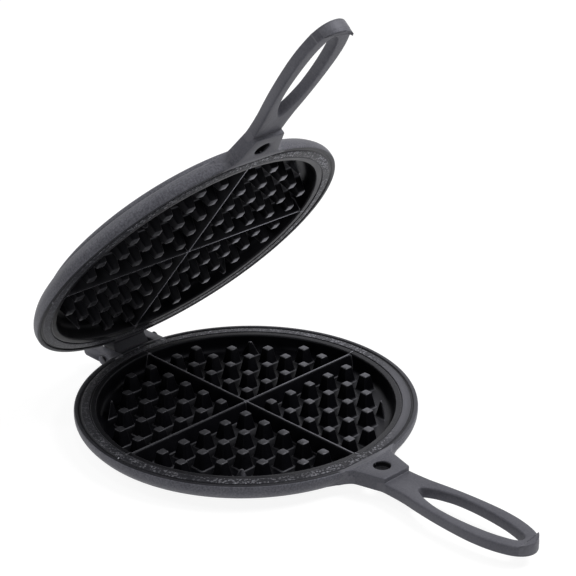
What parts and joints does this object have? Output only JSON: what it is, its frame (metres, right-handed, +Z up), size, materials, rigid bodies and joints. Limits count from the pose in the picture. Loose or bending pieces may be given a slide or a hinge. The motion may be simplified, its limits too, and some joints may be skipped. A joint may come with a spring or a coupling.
{
  "type": "waffle iron",
  "caption": "Round cast iron stovetop waffle iron: two gridded plates with pierced handles, opening on a hinge pin between cast lugs",
  "frame": {"origin": "centre of the lower plate's flat underside, on the surface it stands on", "axes": "+Z up, the handles point to -Y, the hinge is at +Y and its pin runs along X"},
  "size_m": [0.2071, 0.3449, 0.2701],
  "materials": {
    "cast_iron": "fine sand-cast skin, ground mating ring, dark seasoned wells",
    "pin_steel": "plain darkened steel"
  },
  "bodies": {
    "base": {"lower_plate": "cast_iron", "hinge_pin": "pin_steel"},
    "lid": {"upper_plate": "cast_iron"}
  },
  "joints": [
    {"name": "lid_hinge", "type": "hinge", "parent": "base", "child": "lid", "pos_m": [0, 0.1085, 0.0125], "axis": [-0.9988, 0, -0.0494], "range_deg": [-50.3, 61.5]}
  ]
}
